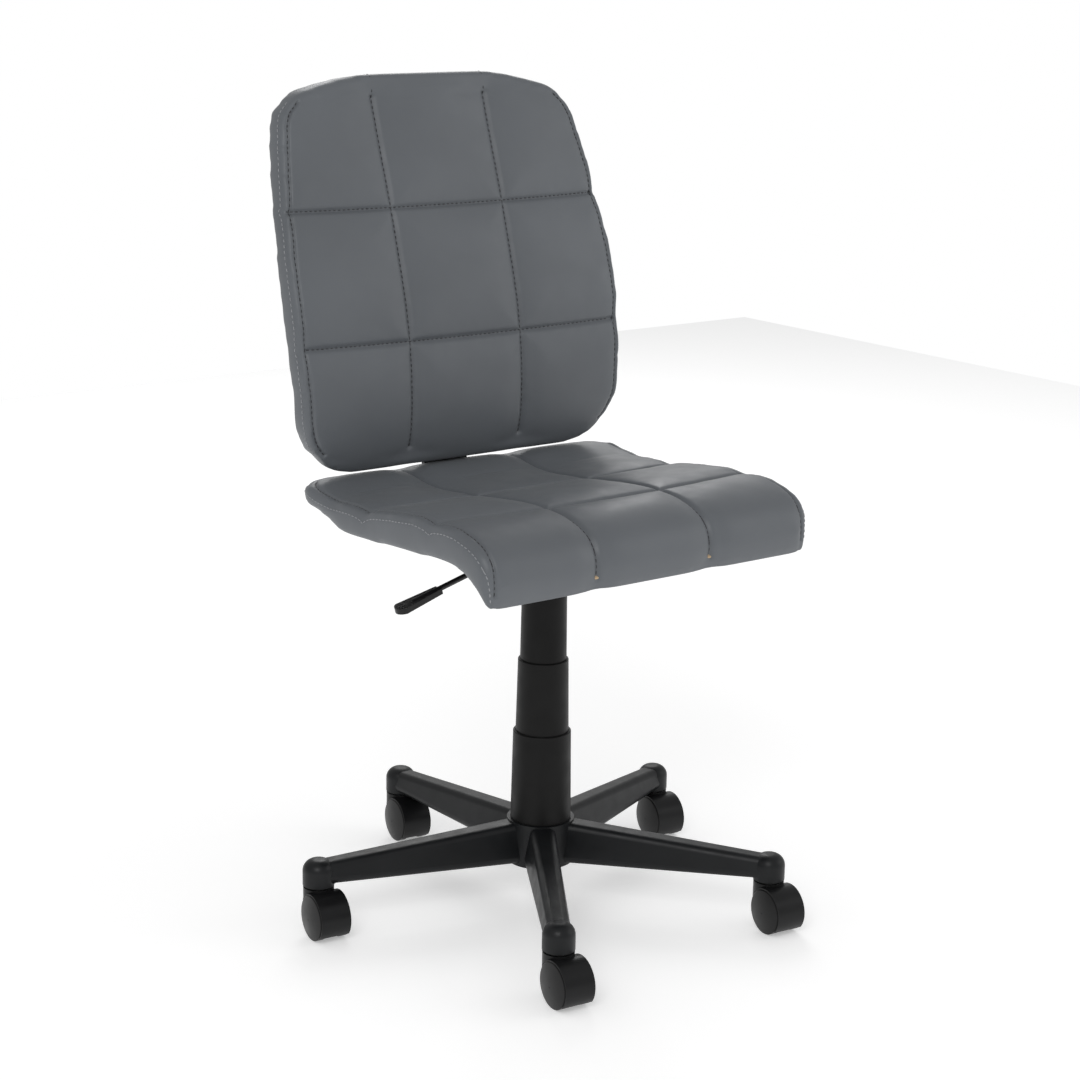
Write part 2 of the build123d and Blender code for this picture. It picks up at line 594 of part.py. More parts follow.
def lever_handle():
    """Moulded paddle, wider at its outer end, with a bevelled top."""
    half_in = HANDLE_INNER_WIDTH / 2
    half_out = HANDLE_OUTER_WIDTH / 2
    end = HANDLE_LENGTH
    bow_start = end - HANDLE_END_BOW
    rod_end = HANDLE_START + HANDLE_LENGTH * HANDLE_GRIP_SHARE
    with BuildSketch() as outline:
        with BuildLine():
            Polyline((bow_start, -half_out), (0, -half_in), (0, half_in), (bow_start, half_out))
            ThreePointArc((bow_start, half_out), (end, 0), (bow_start, -half_out))
        make_face()
    side = HANDLE_THICKNESS - HANDLE_BEVEL
    paddle = extrude(outline.sketch, side)
    paddle += extrude(Pos(0, 0, side) * outline.sketch, HANDLE_BEVEL, taper=45)
    paddle = LEVER_FRAME * Pos(HANDLE_START, 0, -HANDLE_THICKNESS / 2) * paddle
    return paddle - along_lever(LEVER_ROD_R, HANDLE_START - 5, rod_end)


# ---- pads: a side profile run across the chair, cut to an outline ------------------------------------

def across(front, rear, share_front, share_rear, first, last):
    """Points of two layers of a pad, between its two faces, from one station to another."""
    layers = []
    for depth_from, amount in ((front, share_front), (rear, share_rear)):
        other = rear if depth_from is front else front
        layers.append([toward(depth_from, other, amount, u) for u in stations(first, last)])
    return layers


def stations(first, last):
    """Station numbers from first to last; only the ends may lie between two stations."""
    inner = [float(i) for i in range(int(first) + 1, int(last) + 1) if i < last]
    return [first] + inner + [last]


def point_at(points, u):
    """A point on a list of points, u counted in points."""
    i = min(int(u), len(points) - 2)
    (y0, z0), (y1, z1) = points[i], points[i + 1]
    t = u - i
    return (y0 + (y1 - y0) * t, z0 + (z1 - z0) * t)


def toward(points, others, amount, u):
    """A point of one face moved through the pad by an amount in millimetres."""
    y, z = point_at(points, u)
    other_y, other_z = point_at(others, u)
    length = ((other_y - y) ** 2 + (other_z - z) ** 2) ** 0.5
    return (y + (other_y - y) * amount / length, z + (other_z - z) * amount / length)


def draw_layer(points, flat_stations):
    """A smooth line through the points, straight between the two flat stations if there are any."""
    if flat_stations is None:
        Spline(*points)
        return
    start, end = flat_stations
    along = tuple(b - a for a, b in zip(points[start], points[end]))
    first = tuple(b - a for a, b in zip(points[0], points[1]))
    last = tuple(b - a for a, b in zip(points[-2], points[-1]))
    Spline(*points[:start + 1], tangents=(first, along))
    Line(points[start], points[end])
    Spline(*points[end:], tangents=(along, last))


def profile_prism(layer_a, layer_b, half_width, flat_a=None, flat_b=None):
    """The area between two layers of a side profile, run across the chair."""
    plane = Plane(origin=(-half_width, 0, 0), x_dir=(0, 1, 0), z_dir=(1, 0, 0))
    with BuildSketch(plane) as area:
        with BuildLine():
            draw_layer(layer_a, flat_a)
            Line(layer_a[-1], layer_b[-1])
            draw_layer(layer_b, flat_b)
            Line(layer_b[0], layer_a[0])
        make_face()
    return extrude(area.sketch, 2 * half_width)


def seat_outline(inset):
    """Upright prism of the seat's plan."""
    half = SEAT_HALF_WIDTH - inset
    prism = box_between(-half, half, SEAT_FRONT_Y - 2 + inset, SEAT_REAR_Y - inset, 380, 520)
    upright = prism.edges().filter_by(Axis.Z)
    prism = fillet(upright.group_by(Axis.Y)[-1], SEAT_REAR_CORNER_R - inset)
    upright = prism.edges().filter_by(Axis.Z).group_by(Axis.Y)[0]
    return fillet(upright, max(SEAT_FRONT_CORNER_R - inset, LEAST_CORNER_R))


def seat_layer(from_top, from_under, side_inset, first=0.0, last=12.0):
    """A layer of the seat pad: inset from the top, from the underside and from the sides."""
    top, under = across(SEAT_TOP, SEAT_UNDER, from_top, from_under, first, last)
    slab = profile_prism(top, under, SEAT_HALF_WIDTH + 10, flat_b=SEAT_FLAT_STATIONS)
    return slab & seat_outline(side_inset)


def seat_window():
    """The space under the seat board inside the cover's turned-under edge."""
    under = [toward(SEAT_UNDER, SEAT_TOP, UNDER_COVER_THICKNESS, u) for u in stations(0.1, 11.0)]
    below = [toward(SEAT_UNDER, SEAT_TOP, -30.0, u) for u in stations(0.1, 11.0)]
    slab = profile_prism(below, under, SEAT_HALF_WIDTH, SEAT_FLAT_STATIONS, SEAT_FLAT_STATIONS)
    return slab & seat_outline(COVER_WRAP)


def seat_holes(depth_z, height, radius, places):
    """Holes square to the seat plate, from a depth, upwards."""
    return [on_seat_plane(x, y, depth_z + height / 2) * Cylinder(radius, height) for x, y in places]


def cut(shape, tools):
    """Take every tool away from a shape."""
    for tool in tools:
        shape -= tool
    return shape


TEE_TOP = SEAT_BOARD_THICKNESS + UNDER_COVER_THICKNESS - 0.6


def seat_cover():
    """Quilted cover: top, side bands and an edge turned under the board."""
    cavity = seat_layer(QUILT_THICKNESS, UNDER_COVER_THICKNESS, SIDE_COVER_THICKNESS, 0.1, 11.0)
    return seat_layer(0, 0, 0) - cavity - seat_window()


def seat_inside():
    """What the seat cover holds: board and foam together."""
    inset = SIDE_COVER_THICKNESS + PAD_GAP
    return seat_layer(QUILT_THICKNESS + PAD_GAP, UNDER_COVER_THICKNESS + PAD_GAP, inset, 0.15, 10.8)


def below_seat_board_top():
    """Everything under the seat board's top face."""
    top = UNDER_COVER_THICKNESS + PAD_GAP + SEAT_BOARD_THICKNESS
    ends = stations(0.0, 12.0)
    upper = [toward(SEAT_UNDER, SEAT_TOP, top, u) for u in ends]
    lower = [toward(SEAT_UNDER, SEAT_TOP, -20.0, u) for u in ends]
    return profile_prism(lower, upper, SEAT_HALF_WIDTH + 10, SEAT_FLAT_STATIONS, SEAT_FLAT_STATIONS)


def seat_board_blank():
    """The seat board's outer shape, before its pockets are cut."""
    return seat_inside() & below_seat_board_top() & seat_outline(BOARD_EDGE_INSET)


def seat_board():
    """Moulded plywood shell with pockets for the tee nuts."""
    board = seat_board_blank()
    places = PLATE_BOLTS + BAR_BOLTS
    board = cut(board, seat_holes(0, 30, TEE_BARREL_R + 0.1, places))
    return cut(board, seat_holes(TEE_TOP - TEE_FLANGE_THICKNESS, 30, TEE_FLANGE_R + 0.2, places))


def seat_foam():
    """Foam over the board and round its edges, inside the quilted cover."""
    return seat_inside() - seat_board_blank()


def seat_dust_cover():
    """Thin cloth closing the underside inside the turned-under edge."""
    inset = COVER_WRAP + PAD_GAP
    first, last = 0.3, 10.0
    upper = [toward(SEAT_UNDER, SEAT_TOP, UNDER_COVER_THICKNESS, u) for u in stations(first, last)]
    lower = [toward(SEAT_UNDER, SEAT_TOP, UNDER_COVER_THICKNESS - DUST_COVER_THICKNESS, u)
             for u in stations(first, last)]
    cloth = profile_prism(lower, upper, SEAT_HALF_WIDTH, SEAT_FLAT_STATIONS, SEAT_FLAT_STATIONS)
    cloth = cloth & seat_outline(inset)
    return cut(cloth, seat_holes(-10, 40, BOLT_HOLE_R, PLATE_BOLTS + BAR_BOLTS))


def back_outline(inset):
    """Prism of the back's outline, run along Y."""
    bottom = BACK_BOTTOM_Z + inset
    top = BACK_TOP_Z - inset
    half = BACK_HALF_WIDTH - inset
    low_r = 70.0 - inset
    low_centre_x = BACK_HALF_WIDTH - 73.0
    low_centre_z = BACK_BOTTOM_Z + 71.0
    high_r = 46.5 - inset
    high_centre_x = 151.0
    high_centre_z = 850.0
    lean = radians(3.5)
    low_end = (low_centre_x + low_r * cos(radians(8)), low_centre_z + low_r * sin(radians(8)))
    high_start = (high_centre_x + high_r * cos(lean), high_centre_z + high_r * sin(lean))
    high_mid = (high_centre_x + high_r * cos(radians(42)), high_centre_z + high_r * sin(radians(42)))
    high_end = (high_centre_x + high_r * cos(radians(81)), high_centre_z + high_r * sin(radians(81)))
    low_start = (low_centre_x, bottom)
    low_mid = (low_centre_x + low_r * cos(radians(-45)), low_centre_z + low_r * sin(radians(-45)))
    with BuildSketch(Plane.XZ.offset(-340)) as outline:
        with BuildLine():
            Line((0, bottom), low_start)
            ThreePointArc(low_start, low_mid, low_end)
            ThreePointArc(low_end, (half, 625), high_start)
            ThreePointArc(high_start, high_mid, high_end)
            Spline(high_end, (82, top - 3.2), (0, top), tangents=((-high_end[0] * 0.5, 20), (-100, 0)))
            mirror(about=Plane.YZ)
        make_face()
    return extrude(outline.sketch, 280)


def back_layer(from_front, from_rear, side_inset, first=0.0, last=11.0):
    """A layer of the back pad: inset from the front, from the rear and from the edge."""
    front, rear = across(BACK_FRONT, BACK_REAR, from_front, from_rear, first, last)
    return profile_prism(front, rear, BACK_HALF_WIDTH + 10) & back_outline(side_inset)


def back_cover():
    """Sewn cover: quilted front, side bands and plain rear."""
    cavity = back_layer(QUILT_THICKNESS, SIDE_COVER_THICKNESS, SIDE_COVER_THICKNESS, 0.3, 10.8)
    cover = back_layer(0, 0, 0) - cavity
    return cut(cover, back_holes(BOLT_HOLE_R, 0, 12))


def on_back_bar(z, depth):
    """A place on the bar's rear face, square to it; depth goes forward into the back."""
    share = (z - BAR_WAIST[1]) / (BAR_TOP[1] - BAR_WAIST[1])
    y = BAR_WAIST[0] + (BAR_TOP[0] - BAR_WAIST[0]) * share
    return Pos(0, y, z) * Rot(-BAR_RAKE, 0, 0) * Rot(90, 0, 0) * Pos(0, 0, depth - BAR_THICKNESS / 2)


def back_holes(radius, start, end):
    """Holes from the bar's rear face into the back."""
    length = end - start
    return [on_back_bar(z, start + length / 2) * Cylinder(radius, length) for z in BACK_BOLT_Z]


def back_inside():
    """What the back cover holds: board and foam together."""
    inset = SIDE_COVER_THICKNESS + PAD_GAP
    return back_layer(QUILT_THICKNESS + PAD_GAP, SIDE_COVER_THICKNESS + PAD_GAP, inset, 0.35, 10.7)


def behind_back_board_front():
    """Everything behind the back board's front face."""
    front = SIDE_COVER_THICKNESS + PAD_GAP + BACK_BOARD_THICKNESS
    ends = stations(0.0, 11.0)
    inner = [toward(BACK_REAR, BACK_FRONT, front, u) for u in ends]
    outer = [toward(BACK_REAR, BACK_FRONT, -20.0, u) for u in ends]
    return profile_prism(inner, outer, BACK_HALF_WIDTH + 10)


def back_board_blank():
    """The back board's outer shape, before its pockets are cut."""
    return back_inside() & behind_back_board_front() & back_outline(BOARD_EDGE_INSET)


def back_board():
    """Moulded plywood shell with pockets for the tee nuts."""
    board = back_board_blank()
    board = cut(board, back_holes(TEE_BARREL_R + 0.1, 0, 40))
    return cut(board, back_holes(TEE_FLANGE_R + 0.2, BACK_TEE_DEPTH - TEE_FLANGE_THICKNESS, 40))


def back_foam():
    """Foam in front of the board and round its edges, inside the cover."""
    return back_inside() - back_board_blank()


# ---- back bar and fasteners ------------------------------------------------------------------------

def back_bar():
    """Flat steel bar: under the plate, round behind the seat and up the back."""
    bar_middle = PLATE_BOTTOM - BAR_THICKNESS / 2
    start = on_seat_plane(0, BAR_FRONT_Y, bar_middle).position
    elbow = (BAR_ELBOW[0], start.Z - (BAR_ELBOW[0] - start.Y) * tan(radians(SEAT_RAKE)))
    plane = Plane(origin=(0, 0, 0), x_dir=(0, 1, 0), z_dir=(1, 0, 0))
    with BuildLine(plane) as path:
        FilletPolyline((start.Y, start.Z), elbow, BAR_WAIST, BAR_TOP, radius=(BAR_ELBOW_R, BAR_WAIST_R))
    line = path.line
    section_plane = Plane(origin=line @ 0, x_dir=(1, 0, 0), z_dir=line % 0)
    bar = sweep(section_plane * Rectangle(BAR_WIDTH, BAR_THICKNESS), path=line)
    bar = cut(bar, seat_holes(BAR_BOTTOM - 5, 20, BOLT_HOLE_R, BAR_BOLTS))
    return cut(bar, back_holes(BOLT_HOLE_R, -5, 12))


def bolt(length):
    """Hex-head bolt with its head below z = 0 and its shank up from it."""
    head = extrude(RegularPolygon(BOLT_HEAD_R, 6), -BOLT_HEAD_HEIGHT)
    head = chamfer(head.edges().group_by(Axis.Z)[0], BOLT_HEAD_CHAMFER)
    return head + Pos(0, 0, length / 2) * Cylinder(BOLT_R, length)


def washer():
    """Flat washer standing on z = 0."""
    ring = Cylinder(WASHER_R, WASHER_THICKNESS) - Cylinder(BOLT_HOLE_R, WASHER_THICKNESS)
    return Pos(0, 0, WASHER_THICKNESS / 2) * ring


def tee_nut(barrel):
    """Tee nut with its flange's top at z = 0 and its barrel below."""
    flange = Pos(0, 0, -TEE_FLANGE_THICKNESS / 2) * Cylinder(TEE_FLANGE_R, TEE_FLANGE_THICKNESS)
    body = Pos(0, 0, -barrel / 2) * Cylinder(TEE_BARREL_R, barrel)
    return flange + body - Pos(0, 0, -barrel / 2) * Cylinder(BOLT_HOLE_R - 0.2, barrel + 2)


def seat_fasteners():
    """Bolts, washers and tee nuts between the seat plate, the bar and the seat board."""
    groups = {}
    for name, places, under in (("plate", PLATE_BOLTS, PLATE_BOTTOM), ("bar", BAR_BOLTS, BAR_BOTTOM)):
        seat_of_bolt = under - WASHER_THICKNESS
        length = TEE_TOP - seat_of_bolt
        groups[f"{name}_bolts"] = [on_seat_plane(x, y, seat_of_bolt) * bolt(length) for x, y in places]
        groups[f"{name}_washers"] = [on_seat_plane(x, y, seat_of_bolt) * washer() for x, y in places]
    places = PLATE_BOLTS + BAR_BOLTS
    groups["seat_tee_nuts"] = [on_seat_plane(x, y, TEE_TOP) * tee_nut(SEAT_TEE_BARREL) for x, y in places]
    return groups


def back_fasteners():
    """Bolts, washers and tee nuts between the bar and the back board."""
    length = BACK_TEE_DEPTH + WASHER_THICKNESS
    return {
        "back_bolts": [on_back_bar(z, -WASHER_THICKNESS) * bolt(length) for z in BACK_BOLT_Z],
        "back_washers": [on_back_bar(z, -WASHER_THICKNESS) * washer() for z in BACK_BOLT_Z],
        "back_tee_nuts": [on_back_bar(z, BACK_TEE_DEPTH) * tee_nut(BACK_TEE_BARREL) for z in BACK_BOLT_Z],
    }


# ---- write every node ------------------------------------------------------------------------------

def main():
    os.makedirs("parts", exist_ok=True)

    save("base_star", base_star())
    save("caster_stems", *caster_stems())
    save("stem_grip_rings", *stem_grip_rings())
    save("column_tube", column_tube())
    save("guide_bushing", guide_bushing())
    save("thrust_washer_lower", thrust_washer_lower())
    save("cover_lower", cover_stage(COVER_LOWER, radius_at(COVER_MIDDLE, COVER_LOWER[1]) + COVER_LIP_GAP))

    save("piston_rod", piston_rod())
    save("gas_piston", gas_piston())
    save("thrust_ball_ring", *thrust_ball_ring())
    save("thrust_washer_upper", thrust_washer_upper())
    save("bump_stop", bump_stop())
    save("rod_clip", rod_clip())

    save("cover_middle", cover_stage(COVER_MIDDLE, radius_at(COVER_UPPER, COVER_MIDDLE[1]) + COVER_LIP_GAP))
    save("cover_upper", cover_stage(COVER_UPPER))
    save("gas_cylinder", gas_cylinder())
    save("release_pin", release_pin())

    save("taper_socket", taper_socket())
    save("plate_channel", plate_channel())
    save("seat_plate", seat_plate())
    save("lever_pivot_pin", lever_pivot_pin())
    save("lever_rod", lever_rod())
    save("lever_handle", lever_handle())

    save("seat_board", seat_board())
    save("seat_foam", seat_foam())
    save("seat_cover", seat_cover())
    save("seat_dust_cover", seat_dust_cover())
    save("back_board", back_board())
    save("back_foam", back_foam())
    save("back_cover", back_cover())
    save("back_bar", back_bar())
    for name, solids in {**seat_fasteners(), **back_fasteners()}.items():
        save(name, *solids)

    for number, angle in enumerate(ARM_ANGLES, start=1):
        place = caster_place(angle)
        save(f"caster_{number}_hood", place * caster_hood())
        save(f"caster_{number}_axle", place * caster_axle())
        save(f"caster_{number}_wheel_left", place * caster_wheel(-1))
        save(f"caster_{number}_wheel_right", place * caster_wheel(1))


main()
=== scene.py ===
"""Looks of the armless swivel task chair: quilted vinyl pads, thread, and the finish of every CAD node.

Metres, in the frame's own coordinates: the floor is z = 0 and the seat's front faces -Y.
"""
import json
import math

import bmesh
import bpy
from mathutils import Matrix, Vector, noise
from mathutils.bvhtree import BVHTree
from mathutils.kdtree import KDTree


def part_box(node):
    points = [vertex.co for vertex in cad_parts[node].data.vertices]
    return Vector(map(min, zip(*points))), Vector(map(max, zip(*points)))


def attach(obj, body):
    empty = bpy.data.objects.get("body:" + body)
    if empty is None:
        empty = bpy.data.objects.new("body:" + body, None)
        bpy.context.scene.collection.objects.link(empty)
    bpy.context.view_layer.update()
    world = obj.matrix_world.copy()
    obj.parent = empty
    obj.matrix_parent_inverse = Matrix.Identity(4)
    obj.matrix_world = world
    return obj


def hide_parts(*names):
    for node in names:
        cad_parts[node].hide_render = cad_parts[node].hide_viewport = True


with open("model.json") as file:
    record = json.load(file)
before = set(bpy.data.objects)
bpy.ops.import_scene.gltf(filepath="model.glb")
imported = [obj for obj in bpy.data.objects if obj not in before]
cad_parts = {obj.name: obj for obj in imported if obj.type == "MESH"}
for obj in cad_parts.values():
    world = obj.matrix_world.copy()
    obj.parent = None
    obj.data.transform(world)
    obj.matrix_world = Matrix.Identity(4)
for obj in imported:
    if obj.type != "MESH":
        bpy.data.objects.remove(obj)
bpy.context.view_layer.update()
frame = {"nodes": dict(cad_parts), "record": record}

MM = 0.001

# ---- camera and room ------------------------------------------------------------------------------

CAMERA_AZIMUTH = math.radians(-37.4)
CAMERA_ELEVATION = math.radians(14.46)
CAMERA_ROLL = math.radians(1.005)
CAMERA_DISTANCE = 2.6537
CAMERA_LENS = 80.54                # millimetres, on a 36 mm sensor
AIM_HEIGHT = 0.4229
AIM_SIDEWAYS = -0.0060
WORLD_LIGHT = 0.55                 # what the surroundings give to the chair
WORLD_SEEN = 1.0                   # how bright they look themselves
FLOOR_GLOW = 0.34                  # lifts the floor to the same white
FLOOR_HALF_SIZE = 3.0

# ---- pads -----------------------------------------------------------------------------------------

VOXEL = 5.0 * MM
CLOTH_FRAMES = 20
CLOTH_PRESSURE = 4.0
SHRINK = 2.5 * MM                  # the panel starts this much lower, and swells back
EDGE_ROUNDING = 24                 # smoothing passes that round the remeshed edges
BAND_RETURN = 4.0 * MM             # what the rounding takes off the bands, given back
PATH_STEP = 1.5 * MM
SWELL_CAP = 8.0 * MM               # no point swells further than this
REFINE_REACH = 7.0 * MM            # the skin is finer within this distance of a sewn line

VALLEY_DEPTH = 4.0 * MM            # the wide dip of the padding on both sides of a channel
VALLEY_REACH = 17.0 * MM
CREASE_DEPTH = 4.0 * MM            # the sewn line itself
CREASE_REACH = 2.8 * MM
SEAM_DEPTH = 2.4 * MM
SEAM_REACH = 1.7 * MM
PIN_REACH = 5.0 * MM
PUCKER = 0.35 * MM
PUCKER_REACH = 16.0 * MM
PUCKER_PER_METRE = 95.0

CHANNEL_SHARE = 0.355              # lengthwise channels, as a share of the pad's half width
CHANNEL_FOOT = 20.0 * MM           # lengthwise channels end this far above the pad's lowest edge
SEAM_INSET = 8.0 * MM              # the seam between panel and side band, inside the outline
TOPSTITCH_OFFSET = 6.5 * MM
STITCH_LENGTH = 3.9 * MM
STITCH_PITCH = 5.0 * MM
STITCH_R = 0.55 * MM
STITCH_SIDES = 6
# the rings of one stitch: place along it, lift and size in radii
STITCH_RINGS = ((0.0, -0.6, 0.55), (0.2, 0.45, 1.0), (0.8, 0.45, 1.0), (1.0, -0.6, 0.55))

FAR = 1.0                          # rays start this high, or this far in front or to the side
ABOVE_BACK = 1.5                   # rays onto the back's crest start this high


# ---- small helpers --------------------------------------------------------------------------------

def link(piece):
    """Put a new object in the scene."""
    bpy.context.scene.collection.objects.link(piece)
    return piece


def apply_modifiers(piece):
    """Turn the piece's modified shape into its own mesh."""
    bpy.context.view_layer.update()
    shape = piece.evaluated_get(bpy.context.evaluated_depsgraph_get())
    mesh = bpy.data.meshes.new_from_object(shape)
    piece.modifiers.clear()
    piece.data = mesh


def surface_tree(piece):
    """A search tree over a piece's faces."""
    shape = bmesh.new()
    shape.from_mesh(piece.data)
    tree = BVHTree.FromBMesh(shape)
    shape.free()
    return tree


def points_tree(paths):
    """A search tree over every point of several paths."""
    points = [point for path in paths for point, _ in path]
    tree = KDTree(len(points))
    for i, point in enumerate(points):
        tree.insert(point, i)
    tree.balance()
    return tree


def smooth_step(low, high, value):
    """0 below low, 1 above high, and a smooth rise between."""
    t = min(max((value - low) / (high - low), 0.0), 1.0)
    return t * t * (3 - 2 * t)


def spread(first, last, step):
    """Evenly spaced values from first to last, about a step apart."""
    count = max(2, int(abs(last - first) / step) + 1)
    return [first + (last - first) * i / (count - 1) for i in range(count)]


# ---- materials ------------------------------------------------------------------------------------

class Shader:
    """A material's node tree with short calls for what the finishes below share."""

    def __init__(self, name):
        self.material = bpy.data.materials.new(name)
        self.material.use_nodes = True
        self.nodes = self.material.node_tree.nodes
        self.links = self.material.node_tree.links
        self.surface = self.nodes["Principled BSDF"]
        self.place = self.nodes.new("ShaderNodeTexCoord").outputs["Object"]
        self.height = None

    def set(self, **values):
        """Set sockets of the surface by name, with _ for a space."""
        for name, value in values.items():
            self.surface.inputs[name.replace("_", " ")].default_value = value

    def noise(self, scale, detail=4.0, roughness=0.5, stretch=(1, 1, 1)):
        """A noise texture in the object's own space."""
        node = self.nodes.new("ShaderNodeTexNoise")
        node.inputs["Scale"].default_value = scale
        node.inputs["Detail"].default_value = detail
        node.inputs["Roughness"].default_value = roughness
        self.links.new(self.stretched(stretch), node.inputs["Vector"])
        return node.outputs["Fac"]

    def cells(self, scale):
        """Distance to the borders of small random cells, as in leather grain."""
        node = self.nodes.new("ShaderNodeTexVoronoi")
        node.feature = "DISTANCE_TO_EDGE"
        node.inputs["Scale"].default_value = scale
        self.links.new(self.place, node.inputs["Vector"])
        return node.outputs["Distance"]

    def stretched(self, scale):
        """The texture place, scaled along each axis."""
        node = self.nodes.new("ShaderNodeMapping")
        node.inputs["Scale"].default_value = scale
        self.links.new(self.place, node.inputs["Vector"])
        return node.outputs["Vector"]

    def span(self, factor, low, high, from_low=0.3, from_high=0.7):
        """Map a factor's range to another range."""
        node = self.nodes.new("ShaderNodeMapRange")
        node.inputs["From Min"].default_value = from_low
        node.inputs["From Max"].default_value = from_high
        node.inputs["To Min"].default_value = low
        node.inputs["To Max"].default_value = high
        self.links.new(factor, node.inputs["Value"])
        return node.outputs["Result"]

    def colour(self, factor, low, high):
        """Mix two colours by a factor and use them as the base colour."""
        node = self.nodes.new("ShaderNodeMix")
        node.data_type = "RGBA"
        node.inputs["A"].default_value = (*low, 1)
        node.inputs["B"].default_value = (*high, 1)
        self.links.new(factor, node.inputs["Factor"])
        self.links.new(node.outputs["Result"], self.surface.inputs["Base Color"])

    def roughness(self, factor, low, high):
        """Vary the roughness by a factor."""
        self.links.new(self.span(factor, low, high), self.surface.inputs["Roughness"])

    def bump(self, factor, distance, strength=1.0):
        """Add a layer of relief, in metres, on the layers before it."""
        node = self.nodes.new("ShaderNodeBump")
        node.inputs["Distance"].default_value = distance
        node.inputs["Strength"].default_value = strength
        self.links.new(factor, node.inputs["Height"])
        if self.height is not None:
            self.links.new(self.height, node.inputs["Normal"])
        self.height = node.outputs["Normal"]
        self.links.new(self.height, self.surface.inputs["Normal"])


def vinyl(name, base):
    """Soft upholstery vinyl: fine leather grain, faint mottling and a low sheen."""
    shader = Shader(name)
    shader.colour(shader.span(shader.noise(9.0, 5.0), 0.0, 1.0), base, [c * 1.12 for c in base])
    shader.roughness(shader.noise(40.0, 3.0), 0.40, 0.50)
    shader.set(Specular_IOR_Level=0.42, Sheen_Weight=0.06, Sheen_Roughness=0.5)
    shader.bump(shader.cells(900.0), 0.05 * MM, 0.35)
    shader.bump(shader.noise(2600.0, 2.0), 0.02 * MM, 0.35)
    shader.bump(shader.noise(26.0, 3.0), 0.5 * MM, 0.25)
    return shader.material


def moulded(name, base, rough, grain=0.03, specular=0.5):
    """Moulded plastic with a fine spark-eroded texture and slight flow marks."""
    shader = Shader(name)
    shader.colour(shader.span(shader.noise(14.0, 4.0), 0.0, 1.0), base, [c * 1.3 + 0.002 for c in base])
    shader.roughness(shader.noise(60.0, 4.0), rough - 0.05, rough + 0.06)
    shader.set(Specular_IOR_Level=specular)
    shader.bump(shader.noise(1500.0, 3.0), grain * MM, 0.6)
    shader.bump(shader.noise(420.0, 2.0), 0.03 * MM, 0.25)
    return shader.material


def powder_coat(name, base):
    """Powder-coated steel with a slight orange peel."""
    shader = Shader(name)
    shader.colour(shader.span(shader.noise(20.0, 3.0), 0.0, 1.0), base, [c * 1.4 for c in base])
    shader.roughness(shader.noise(90.0, 3.0), 0.32, 0.44)
    shader.bump(shader.noise(650.0, 2.0), 0.05 * MM, 0.35)
    return shader.material


def metal(name, base, rough, stretch=(1, 1, 30)):
    """Bare or plated steel with fine turning marks."""
    shader = Shader(name)
    shader.colour(shader.span(shader.noise(30.0, 4.0), 0.0, 1.0), [c * 0.85 for c in base], base)
    shader.roughness(shader.noise(60.0, 4.0, stretch=stretch), rough - 0.07, rough + 0.08)
    shader.set(Metallic=1.0)
    shader.bump(shader.noise(300.0, 3.0, stretch=stretch), 0.01 * MM, 0.4)
    return shader.material


def plywood(name, base):
    """Bare plywood with a long grain."""
    shader = Shader(name)
    grain = shader.noise(40.0, 6.0, 0.6, stretch=(1, 12, 1))
    shader.colour(shader.span(grain, 0.0, 1.0), [c * 0.7 for c in base], base)
    shader.set(Roughness=0.7)
    shader.bump(grain, 0.15 * MM, 0.5)
    return shader.material


def fibre_cloth(name, base):
    """Thin non-woven cloth: crossed random fibres and a pressed dot pattern."""
    shader = Shader(name)
    fibres = shader.noise(700.0, 6.0, 0.7, stretch=(1, 3, 1))
    shader.colour(shader.span(fibres, 0.0, 1.0), base, [c * 2.2 + 0.01 for c in base])
    shader.set(Roughness=0.92, Specular_IOR_Level=0.2)
    shader.bump(fibres, 0.12 * MM, 0.7)
    shader.bump(shader.cells(420.0), 0.1 * MM, 0.5)
    return shader.material


def foam(name, base):
    """Open-cell foam."""
    shader = Shader(name)
    shader.colour(shader.span(shader.noise(60.0), 0.0, 1.0), [c * 0.85 for c in base], base)
    shader.set(Roughness=0.95)
    shader.bump(shader.cells(500.0), 0.4 * MM, 0.7)
    return shader.material


def rubber(name, base):
    """Moulded black rubber."""
    shader = Shader(name)
    shader.colour(shader.span(shader.noise(30.0), 0.0, 1.0), base, [c * 1.5 for c in base])
    shader.set(Roughness=0.75)
    shader.bump(shader.noise(500.0), 0.04 * MM, 0.5)
    return shader.material


def thread(name, base):
    """Twisted polyester sewing thread."""
    shader = Shader(name)
    shader.colour(shader.span(shader.noise(1500.0, 2.0), 0.0, 1.0), base, [c * 1.6 for c in base])
    shader.set(Roughness=0.6, Sheen_Weight=0.2)
    shader.bump(shader.noise(2500.0, 2.0), 0.1 * MM, 0.8)
    return shader.material


VINYL_COLOUR = (0.104, 0.113, 0.124)

